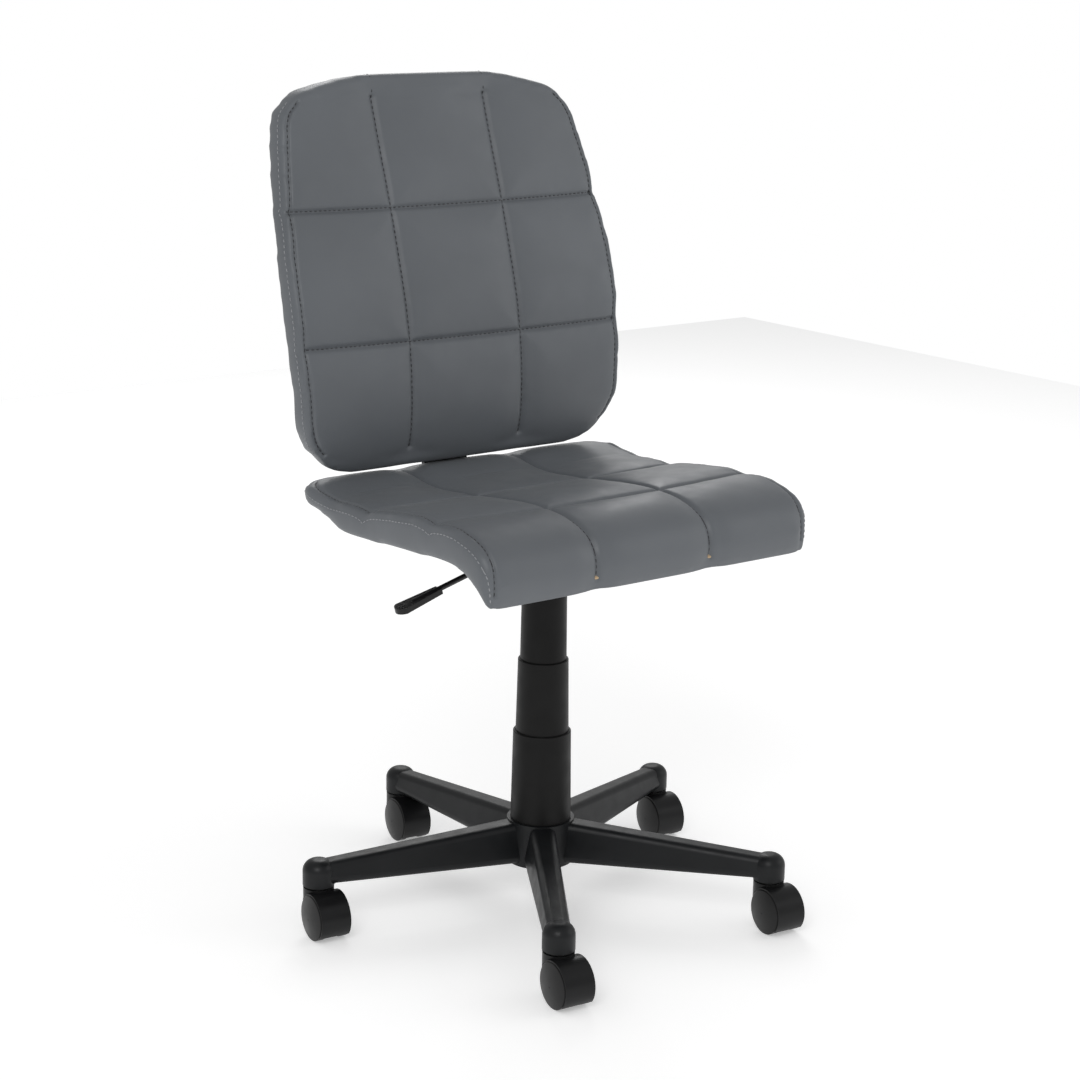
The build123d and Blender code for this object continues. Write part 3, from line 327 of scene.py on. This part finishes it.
FINISHES = {
    "grey_vinyl": vinyl("grey_vinyl", VINYL_COLOUR),
    "foam": foam("foam", (0.75, 0.68, 0.50)),
    "plywood": plywood("plywood", (0.55, 0.40, 0.24)),
    "dust_cloth": fibre_cloth("dust_cloth", (0.012, 0.012, 0.013)),
    "base_nylon": moulded("base_nylon", (0.0050, 0.0056, 0.0064), 0.40, grain=0.05, specular=0.26),
    "cover_plastic": moulded("cover_plastic", (0.0055, 0.0054, 0.0054), 0.46, grain=0.035, specular=0.16),
    "caster_nylon": moulded("caster_nylon", (0.0045, 0.0046, 0.0050), 0.34, specular=0.24),
    "wheel_nylon": moulded("wheel_nylon", (0.0048, 0.0048, 0.0050), 0.34, grain=0.02, specular=0.24),
    "handle_plastic": moulded("handle_plastic", (0.0045, 0.0045, 0.0050), 0.28, grain=0.015, specular=0.3),
    "black_steel": powder_coat("black_steel", (0.010, 0.010, 0.011)),
    "black_fastener": powder_coat("black_fastener", (0.014, 0.014, 0.014)),
    "zinc_steel": metal("zinc_steel", (0.62, 0.62, 0.60), 0.34),
    "spring_steel": metal("spring_steel", (0.40, 0.40, 0.41), 0.30),
    "chrome_rod": metal("chrome_rod", (0.75, 0.75, 0.77), 0.12),
    "acetal": moulded("acetal", (0.72, 0.71, 0.67), 0.42, grain=0.01),
    "bumper_rubber": rubber("bumper_rubber", (0.015, 0.015, 0.015)),
}
THREAD_DARK = thread("thread_dark", (0.016, 0.016, 0.018))
THREAD_GREY = thread("thread_grey", (0.20, 0.205, 0.215))


def finish_cad_nodes():
    """Give every CAD node the material of its slot in the record."""
    for subpart in frame["record"]["subparts"]:
        mesh = frame["nodes"][subpart["node"]].data
        mesh.materials.clear()
        mesh.materials.append(FINISHES[subpart["material_slot"]])


# ---- pads: shared steps ---------------------------------------------------------------------------

def remeshed_pad(name, nodes):
    """One closed, evenly meshed skin round several CAD nodes."""
    shape = bmesh.new()
    for node in nodes:
        shape.from_mesh(frame["nodes"][node].data)
    mesh = bpy.data.meshes.new(name)
    shape.to_mesh(mesh)
    shape.free()
    piece = link(bpy.data.objects.new(name, mesh))
    remesh = piece.modifiers.new("remesh", "REMESH")
    remesh.mode = "VOXEL"
    remesh.voxel_size = VOXEL
    apply_modifiers(piece)
    keep_outer_skin(piece)
    return piece


def keep_outer_skin(piece):
    """Delete every loose part but the largest, which is the outside."""
    shape = bmesh.new()
    shape.from_mesh(piece.data)
    shape.verts.ensure_lookup_table()
    unseen = set(shape.verts)
    parts = []
    while unseen:
        part = set()
        edge_of_search = [unseen.pop()]
        while edge_of_search:
            vertex = edge_of_search.pop()
            part.add(vertex)
            for edge in vertex.link_edges:
                other = edge.other_vert(vertex)
                if other in unseen:
                    unseen.discard(other)
                    edge_of_search.append(other)
        parts.append(part)
    outside = max(parts, key=len)
    loose = [vertex for vertex in shape.verts if vertex not in outside]
    bmesh.ops.delete(shape, geom=loose, context="VERTS")
    shape.to_mesh(piece.data)
    shape.free()


def round_edges(piece):
    """Smooth the whole skin a little, which rounds the pad's edges."""
    smooth = piece.modifiers.new("round", "SMOOTH")
    smooth.factor = 0.5
    smooth.iterations = EDGE_ROUNDING
    apply_modifiers(piece)


def push(piece, distance_at):
    """Move every vertex along its normal by a distance worked out for it."""
    normals = [vertex.normal.copy() for vertex in piece.data.vertices]
    for vertex, normal in zip(piece.data.vertices, normals):
        vertex.co += normal * distance_at(vertex.co, normal)
    piece.data.update()


def press_valleys(piece, channels):
    """The padding's wide dip beside each sewn channel."""
    lines = points_tree(channels)

    def depth(place, _):
        distance = lines.find(place)[2]
        return -VALLEY_DEPTH * math.exp(-(distance / VALLEY_REACH) ** 2)

    push(piece, depth)


def inflate(piece, held_lines, soft_side):
    """Fill the pad by cloth simulation, held along its sewn lines and wherever soft_side is 0."""
    lines = points_tree(held_lines)
    start = [vertex.co.copy() for vertex in piece.data.vertices]
    normals = [vertex.normal.copy() for vertex in piece.data.vertices]
    held = piece.vertex_groups.new(name="held")
    for i, place in enumerate(start):
        near_line = 1.0 - smooth_step(PIN_REACH * 0.6, PIN_REACH * 1.4, lines.find(place)[2])
        held.add([i], max(near_line, 1.0 - soft_side(place, normals[i])), "REPLACE")
    cloth = piece.modifiers.new("cloth", "CLOTH")
    cloth.settings.quality = 5
    cloth.settings.use_pressure = True
    cloth.settings.uniform_pressure_force = CLOTH_PRESSURE
    cloth.settings.effector_weights.gravity = 0
    cloth.settings.vertex_group_mass = held.name
    cloth.collision_settings.use_self_collision = False
    cloth.point_cache.frame_end = CLOTH_FRAMES
    for number in range(1, CLOTH_FRAMES + 1):
        bpy.context.scene.frame_set(number)
    apply_modifiers(piece)
    bpy.context.scene.frame_set(1)
    for vertex, before in zip(piece.data.vertices, start):
        move = vertex.co - before
        if move.length > SWELL_CAP:
            vertex.co = before + move * (SWELL_CAP / move.length)
    piece.vertex_groups.clear()
    piece.data.update()


def refine(piece, lines):
    """Split the faces near the sewn lines, so that a crease has enough points."""
    near = points_tree(lines)
    shape = bmesh.new()
    shape.from_mesh(piece.data)
    edges = [
        edge for edge in shape.edges
        if near.find((edge.verts[0].co + edge.verts[1].co) / 2)[2] < REFINE_REACH
    ]
    bmesh.ops.subdivide_edges(shape, edges=edges, cuts=1, use_grid_fill=True)
    bmesh.ops.triangulate(shape, faces=[face for face in shape.faces if len(face.verts) > 4])
    shape.to_mesh(piece.data)
    shape.free()


def subdivide(piece):
    """One smooth subdivision of the whole skin."""
    surface = piece.modifiers.new("subdivide", "SUBSURF")
    surface.levels = 1
    surface.render_levels = 1
    apply_modifiers(piece)


def press_creases(piece, channels, seams):
    """The sharp sewn lines, with small puckers beside the channels."""
    channel_lines = points_tree(channels)
    seam_lines = points_tree(seams)

    def depth(place, _):
        from_channel = channel_lines.find(place)[2]
        from_seam = seam_lines.find(place)[2]
        crease = CREASE_DEPTH * math.exp(-(from_channel / CREASE_REACH) ** 1.5)
        seam = SEAM_DEPTH * math.exp(-(from_seam / SEAM_REACH) ** 2)
        fade = math.exp(-min(from_channel, from_seam) / PUCKER_REACH)
        pucker = PUCKER * fade * noise.noise(place * PUCKER_PER_METRE)
        return pucker - crease - seam

    push(piece, depth)


def shade_smooth(piece):
    """Smooth shading on every face."""
    piece.data.polygons.foreach_set("use_smooth", [True] * len(piece.data.polygons))
    piece.data.update()


def laid_on(tree, starts, direction):
    """(point, normal) pairs where rays from the starts first meet the skin."""
    found = []
    for start in starts:
        point, normal, _, _ = tree.ray_cast(start, direction)
        if point is not None:
            found.append((point, normal))
    return found


def evenly(path, pitch):
    """Points along a path, one pitch apart."""
    out = [path[0]]
    since = 0.0
    for (before, _), (point, normal) in zip(path, path[1:]):
        since += (point - before).length
        if since >= pitch:
            out.append((point, normal))
            since = 0.0
    return out


def add_stitch(shape, start, end, up):
    """One stitch: a thin six-sided thread that dives into the skin at both ends."""
    along = (end - start).normalized()
    side = along.cross(up).normalized()
    rings = []
    for share, lift, size in STITCH_RINGS:
        centre = start.lerp(end, share) + up * (lift * STITCH_R)
        ring = []
        for corner in range(STITCH_SIDES):
            angle = corner * math.tau / STITCH_SIDES
            offset = side * math.cos(angle) + up * math.sin(angle)
            ring.append(shape.verts.new(centre + offset * (STITCH_R * size)))
        rings.append(ring)
    for ring, following in zip(rings, rings[1:]):
        for corner in range(STITCH_SIDES):
            after = (corner + 1) % STITCH_SIDES
            shape.faces.new((ring[corner], ring[after], following[after], following[corner]))
    shape.faces.new(reversed(rings[0]))
    shape.faces.new(rings[-1])


def stitches(name, paths, material, body):
    """A row of stitches along each path, as one piece."""
    shape = bmesh.new()
    for path in paths:
        marks = evenly(path, STITCH_PITCH)
        for (start, normal), (end, _) in zip(marks, marks[1:]):
            direction = end - start
            if direction.length > 2 * STITCH_PITCH:
                continue
            add_stitch(shape, start, start + direction.normalized() * STITCH_LENGTH, normal)
    bmesh.ops.recalc_face_normals(shape, faces=shape.faces)
    mesh = bpy.data.meshes.new(name)
    shape.to_mesh(mesh)
    shape.free()
    piece = link(bpy.data.objects.new(name, mesh))
    mesh.materials.append(material)
    shade_smooth(piece)
    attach(piece, body)
    return piece


def finish_pad(piece, nodes):
    """Material, smooth shading and body of a finished pad, with its CAD nodes hidden."""
    piece.data.materials.clear()
    piece.data.materials.append(FINISHES["grey_vinyl"])
    shade_smooth(piece)
    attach(piece, "seat")
    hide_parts(*nodes)


# ---- seat -----------------------------------------------------------------------------------------

SEAT_LOW, SEAT_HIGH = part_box("seat_cover")
SEAT_HALF_WIDTH = SEAT_HIGH.x
SEAT_LENGTH = SEAT_HIGH.y - SEAT_LOW.y
SEAT_REAR_CORNER_R = 52.0 * MM
SEAT_CROSS_CHANNELS = ((0.575, 11.0 * MM), (0.243, 15.0 * MM))   # share from the front, bow at the sides
SEAT_CHANNEL_REAR = 14 * MM        # the lengthwise channels start this far inside the rear edge
SEAT_LIP_TOP = 10 * MM             # they turn down this far inside the front edge
SEAT_LIP_DROP = 24 * MM            # and go on down the lip from this far under the crest
SEAT_SEAM_TURN = 12 * MM           # the side seams turn down here, inside the front edge
SEAT_SEAM_DROP = 26 * MM           # go on down the lip from this far under the crest
SEAT_SEAM_FOOT = 20 * MM           # and end this far above the lip's lowest edge
UNDERSIDE = -0.45                  # a normal that looks further down than this is on the underside
WINDOW_INSET = 26.0 * MM           # inside this margin the dust cloth covers the underside
WINDOW_LIFT = 3.0 * MM


def seat_lengthwise(tree, x):
    """A channel from the rear crest over the top and down the front lip."""
    rear, lip = SEAT_HIGH.y - SEAT_CHANNEL_REAR, SEAT_LOW.y + SEAT_LIP_TOP
    high, low = SEAT_HIGH.z - SEAT_LIP_DROP, SEAT_LOW.z + CHANNEL_FOOT
    top = [Vector((x, y, FAR)) for y in spread(rear, lip, PATH_STEP)]
    front = [Vector((x, -FAR, z)) for z in spread(high, low, PATH_STEP)]
    return laid_on(tree, top, Vector((0, 0, -1))) + laid_on(tree, front, Vector((0, 1, 0)))


def seat_crosswise(tree, share, bow):
    """A channel across the top, bowed towards the front in the middle."""
    reach = SEAT_HALF_WIDTH - SEAM_INSET
    starts = []
    for x in spread(-reach, reach, PATH_STEP):
        y = SEAT_LOW.y + share * SEAT_LENGTH + bow * (x / reach) ** 2
        starts.append(Vector((x, y, FAR)))
    return laid_on(tree, starts, Vector((0, 0, -1)))


def seat_outline(inset):
    """Plan points along the sides and round the rear, inside the outline by an inset."""
    half = SEAT_HALF_WIDTH - inset
    rear = SEAT_HIGH.y - inset
    radius = SEAT_REAR_CORNER_R - inset
    points = [(-half, y) for y in spread(SEAT_LOW.y + SEAT_SEAM_TURN, rear - radius, PATH_STEP)]
    for angle in spread(math.pi, math.pi / 2, PATH_STEP / radius):
        points.append((-half + radius + radius * math.cos(angle), rear - radius + radius * math.sin(angle)))
    right = [(-x, y) for x, y in reversed(points)]
    return points + right


def seat_seam(tree, inset):
    """The seam between the top panel and the side bands."""
    starts = [Vector((x, y, FAR)) for x, y in seat_outline(inset)]
    top = laid_on(tree, starts, Vector((0, 0, -1)))
    high, low = SEAT_HIGH.z - SEAT_SEAM_DROP, SEAT_LOW.z + SEAT_SEAM_FOOT
    ends = []
    for side in (-1, 1):
        x = side * (SEAT_HALF_WIDTH - inset)
        fronts = [Vector((x, -FAR, z)) for z in spread(high, low, PATH_STEP)]
        ends.append(laid_on(tree, fronts, Vector((0, 1, 0))))
    return [list(reversed(ends[0])) + top + ends[1]]


def seat_band_row(tree):
    """The topstitch on the side bands, below the seam."""
    seam = seat_seam(tree, SEAM_INSET)[0]
    rows = []
    for point, _ in seam:
        outward = Vector((point.x, max(point.y, 0.0) * 0.6, 0)).normalized()
        start = Vector((point.x, point.y, point.z - TOPSTITCH_OFFSET)) + outward * 0.1
        rows.append((start, -outward))
    found = []
    for start, direction in rows:
        place, normal, _, _ = tree.ray_cast(start, direction)
        if place is not None:
            found.append((place, normal))
    return [found]


def seat_soft_side(_, normal):
    """1 on the quilted panel over the top and the front lip, 0 on the bands and the underside."""
    return smooth_step(0.25, 0.65, max(normal.z, -normal.y))


def seat_band_side(normal):
    """1 on the side and rear bands, 0 on the panel and the underside."""
    return smooth_step(0.5, 0.9, max(abs(normal.x), normal.y))


def lift_window(piece):
    """Raise the underside inside the turned-under edge, where the dust cloth closes it."""
    half = SEAT_HALF_WIDTH - WINDOW_INSET

    def rise(place, normal):
        inside = abs(place.x) < half and SEAT_LOW.y + WINDOW_INSET < place.y < SEAT_HIGH.y - WINDOW_INSET
        return -WINDOW_LIFT if inside and normal.z < UNDERSIDE else 0.0

    push(piece, rise)


def seat_pad():
    """The quilted seat with its bands, channels and stitches."""
    piece = remeshed_pad("seat_pad", ("seat_cover", "seat_foam", "seat_board"))
    round_edges(piece)
    push(piece, lambda place, normal: BAND_RETURN * seat_band_side(normal))
    tree = surface_tree(piece)
    channel_x = CHANNEL_SHARE * SEAT_HALF_WIDTH

    def sewn(on):
        channels = [seat_lengthwise(on, side * channel_x) for side in (-1, 1)]
        return channels + [seat_crosswise(on, share, bow) for share, bow in SEAT_CROSS_CHANNELS]

    channels = sewn(tree)
    press_valleys(piece, channels)
    push(piece, lambda place, normal: -SHRINK * seat_soft_side(place, normal))
    tree = surface_tree(piece)
    inflate(piece, sewn(tree) + seat_seam(tree, SEAM_INSET), seat_soft_side)
    subdivide(piece)
    tree = surface_tree(piece)
    channels, seams = sewn(tree), seat_seam(tree, SEAM_INSET)
    refine(piece, channels + seams)
    press_creases(piece, channels, seams)
    lift_window(piece)
    finish_pad(piece, ("seat_cover", "seat_foam"))
    tree = surface_tree(piece)
    stitches("seat_channel_stitches", sewn(tree), THREAD_DARK, "seat")
    stitches("seat_seam_stitches", seat_seam(tree, SEAM_INSET), THREAD_DARK, "seat")
    stitches("seat_band_stitches", seat_band_row(tree), THREAD_GREY, "seat")


# ---- back -----------------------------------------------------------------------------------------

BACK_LOW, BACK_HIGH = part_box("back_cover")
BACK_HALF_WIDTH = BACK_HIGH.x
BACK_HEIGHT = BACK_HIGH.z - BACK_LOW.z
BACK_CROSS_SHARES = (0.326, 0.665)   # cross channels, up from the bottom
BACK_CROSS_BOW = 2.5 * MM
BACK_STITCH_TURN = 9.0 * MM        # the lengthwise rows turn over the crest this far below it
BACK_CREST_BEHIND = 26.0 * MM      # and end this far behind that turn
BACK_CREASE_END = 24.0 * MM        # the creases themselves end this far below the crest
BACK_SEAM_FOOT = 24 * MM           # the side seams start this far above the back's bottom
BACK_SEAM_HEAD = 26 * MM           # and end this far below its top
BACK_SEAM_STEP = 3 * MM
BACK_EDGE_STEP = 4 * MM            # rays that look for the outline stand this far apart


def back_lengthwise(tree, x, over_crest):
    """A channel up the front, and over the crest where it is only stitched."""
    low = BACK_LOW.z + CHANNEL_FOOT
    high = BACK_HIGH.z - (BACK_STITCH_TURN if over_crest else BACK_CREASE_END)
    front = [Vector((x, -FAR, z)) for z in spread(low, high, PATH_STEP)]
    path = laid_on(tree, front, Vector((0, 1, 0)))
    if not over_crest:
        return path
    crest_y = path[-1][0].y
    over = [Vector((x, y, ABOVE_BACK)) for y in spread(crest_y, crest_y + BACK_CREST_BEHIND, PATH_STEP)]
    return path + laid_on(tree, over, Vector((0, 0, -1)))


def back_crosswise(tree, share):
    """A channel across the front, a little lower in the middle."""
    reach = BACK_HALF_WIDTH - SEAM_INSET
    starts = []
    for x in spread(-reach, reach, PATH_STEP):
        z = BACK_LOW.z + share * BACK_HEIGHT + BACK_CROSS_BOW * (x / reach) ** 2
        starts.append(Vector((x, -FAR, z)))
    return laid_on(tree, starts, Vector((0, 1, 0)))


def back_edge(tree, z):
    """The skin's outermost point on the +X side at a height, seen from the side."""
    best = None
    for y in spread(BACK_LOW.y, BACK_HIGH.y, BACK_EDGE_STEP):
        place, _, _, _ = tree.ray_cast(Vector((FAR, y, z)), Vector((-1, 0, 0)))
        if place is not None and (best is None or place.x > best.x):
            best = place
    return best


def back_seam(tree, inset, behind=0.0):
    """The seams between the front panel and the side bands, one on each side."""
    seams = []
    for side in (-1, 1):
        path = []
        for z in spread(BACK_LOW.z + BACK_SEAM_FOOT, BACK_HIGH.z - BACK_SEAM_HEAD, BACK_SEAM_STEP):
            edge = back_edge(tree, z)
            start = Vector((side * (edge.x - inset), -FAR, z))
            front, _, _, _ = tree.ray_cast(start, Vector((0, 1, 0)))
            if front is None:
                continue
            if behind:
                start = Vector((side, front.y + behind, z))
                place, normal, _, _ = tree.ray_cast(start, Vector((-side, 0, 0)))
            else:
                place, normal, _, _ = tree.find_nearest(front)
            if place is not None:
                path.append((place, normal))
        seams.append(denser(path))
    return seams


def denser(path):
    """A path with points added so that none are further than a step apart."""
    out = []
    for (a, normal_a), (b, normal_b) in zip(path, path[1:]):
        count = max(1, round((b - a).length / PATH_STEP))
        out += [(a.lerp(b, i / count), normal_a.lerp(normal_b, i / count)) for i in range(count)]
    return out + [path[-1]]


def back_soft_side(_, normal):
    """1 on the quilted front, 0 on the bands and the rear."""
    return smooth_step(0.3, 0.7, -normal.y)


def back_band_side(normal):
    """1 on the bands, the crest and the bottom edge, 0 on the front and the rear."""
    return smooth_step(0.5, 0.9, max(abs(normal.x), abs(normal.z)))


def back_pad():
    """The quilted back with its bands, channels and stitches."""
    piece = remeshed_pad("back_pad", ("back_cover", "back_foam", "back_board"))
    round_edges(piece)
    push(piece, lambda place, normal: BAND_RETURN * back_band_side(normal))
    tree = surface_tree(piece)
    channel_x = CHANNEL_SHARE * SEAT_HALF_WIDTH

    def sewn(on, over_crest=False):
        channels = [back_lengthwise(on, side * channel_x, over_crest) for side in (-1, 1)]
        return channels + [back_crosswise(on, share) for share in BACK_CROSS_SHARES]

    press_valleys(piece, sewn(tree))
    push(piece, lambda place, normal: -SHRINK * back_soft_side(place, normal))
    tree = surface_tree(piece)
    inflate(piece, sewn(tree) + back_seam(tree, SEAM_INSET), back_soft_side)
    subdivide(piece)
    tree = surface_tree(piece)
    channels, seams = sewn(tree), back_seam(tree, SEAM_INSET)
    refine(piece, channels + seams)
    press_creases(piece, channels, seams)
    finish_pad(piece, ("back_cover", "back_foam"))
    tree = surface_tree(piece)
    stitches("back_channel_stitches", sewn(tree, over_crest=True), THREAD_DARK, "seat")
    stitches("back_seam_stitches", back_seam(tree, SEAM_INSET), THREAD_DARK, "seat")
    stitches("back_band_stitches", back_seam(tree, SEAM_INSET, TOPSTITCH_OFFSET), THREAD_GREY, "seat")


# ---- room -----------------------------------------------------------------------------------------

def camera():
    """The camera, aimed a little beside the column's axis."""
    back = Vector((
        math.sin(CAMERA_AZIMUTH) * math.cos(CAMERA_ELEVATION),
        -math.cos(CAMERA_AZIMUTH) * math.cos(CAMERA_ELEVATION),
        math.sin(CAMERA_ELEVATION),
    ))
    right = Vector((math.cos(CAMERA_AZIMUTH), math.sin(CAMERA_AZIMUTH), 0))
    aim = right * AIM_SIDEWAYS + Vector((0, 0, AIM_HEIGHT))
    lens = bpy.data.cameras.new("camera")
    lens.lens = CAMERA_LENS
    lens.sensor_width = 36.0
    eye = link(bpy.data.objects.new("camera", lens))
    turn = (-back).to_track_quat("-Z", "Y").to_matrix() @ Matrix.Rotation(CAMERA_ROLL, 3, "Z")
    eye.matrix_world = Matrix.Translation(aim + back * CAMERA_DISTANCE) @ turn.to_4x4()
    bpy.context.scene.camera = eye


def area_light(name, place, size, power, aim=(0, 0, 0.45)):
    """A square soft light that looks at the chair."""
    lamp = bpy.data.lights.new(name, "AREA")
    lamp.energy = power
    lamp.size = size
    light = link(bpy.data.objects.new(name, lamp))
    light.location = place
    light.rotation_euler = (Vector(aim) - Vector(place)).to_track_quat("-Z", "Y").to_euler()


def room():
    """Pale floor, white surroundings and three soft lights."""
    world = bpy.data.worlds.new("surroundings")
    world.use_nodes = True
    nodes, links = world.node_tree.nodes, world.node_tree.links
    background = nodes["Background"]
    background.inputs["Color"].default_value = (1.0, 1.0, 1.0, 1)
    seen = nodes.new("ShaderNodeLightPath").outputs["Is Camera Ray"]
    strength = nodes.new("ShaderNodeMapRange")
    strength.inputs["To Min"].default_value = WORLD_LIGHT
    strength.inputs["To Max"].default_value = WORLD_SEEN
    links.new(seen, strength.inputs["Value"])
    links.new(strength.outputs["Result"], background.inputs["Strength"])
    bpy.context.scene.world = world
    bpy.context.scene.view_settings.view_transform = "Standard"

    shape = bmesh.new()
    bmesh.ops.create_grid(shape, x_segments=8, y_segments=8, size=FLOOR_HALF_SIZE)
    mesh = bpy.data.meshes.new("floor")
    shape.to_mesh(mesh)
    shape.free()
    floor = link(bpy.data.objects.new("floor", mesh))
    shader = Shader("pale_floor")
    shader.set(Base_Color=(0.86, 0.86, 0.86, 1), Roughness=0.9, Specular_IOR_Level=0.1)
    shader.set(Emission_Color=(1, 1, 1, 1), Emission_Strength=FLOOR_GLOW)
    mesh.materials.append(shader.material)

    area_light("key", (-2.4, -2.2, 2.6), 1.6, 42.0)
    area_light("fill", (2.6, -1.8, 1.4), 2.0, 14.0)
    area_light("rim", (1.6, 2.4, 2.2), 1.4, 22.0)


# ---- build ----------------------------------------------------------------------------------------

finish_cad_nodes()
seat_pad()
back_pad()
camera()
room()
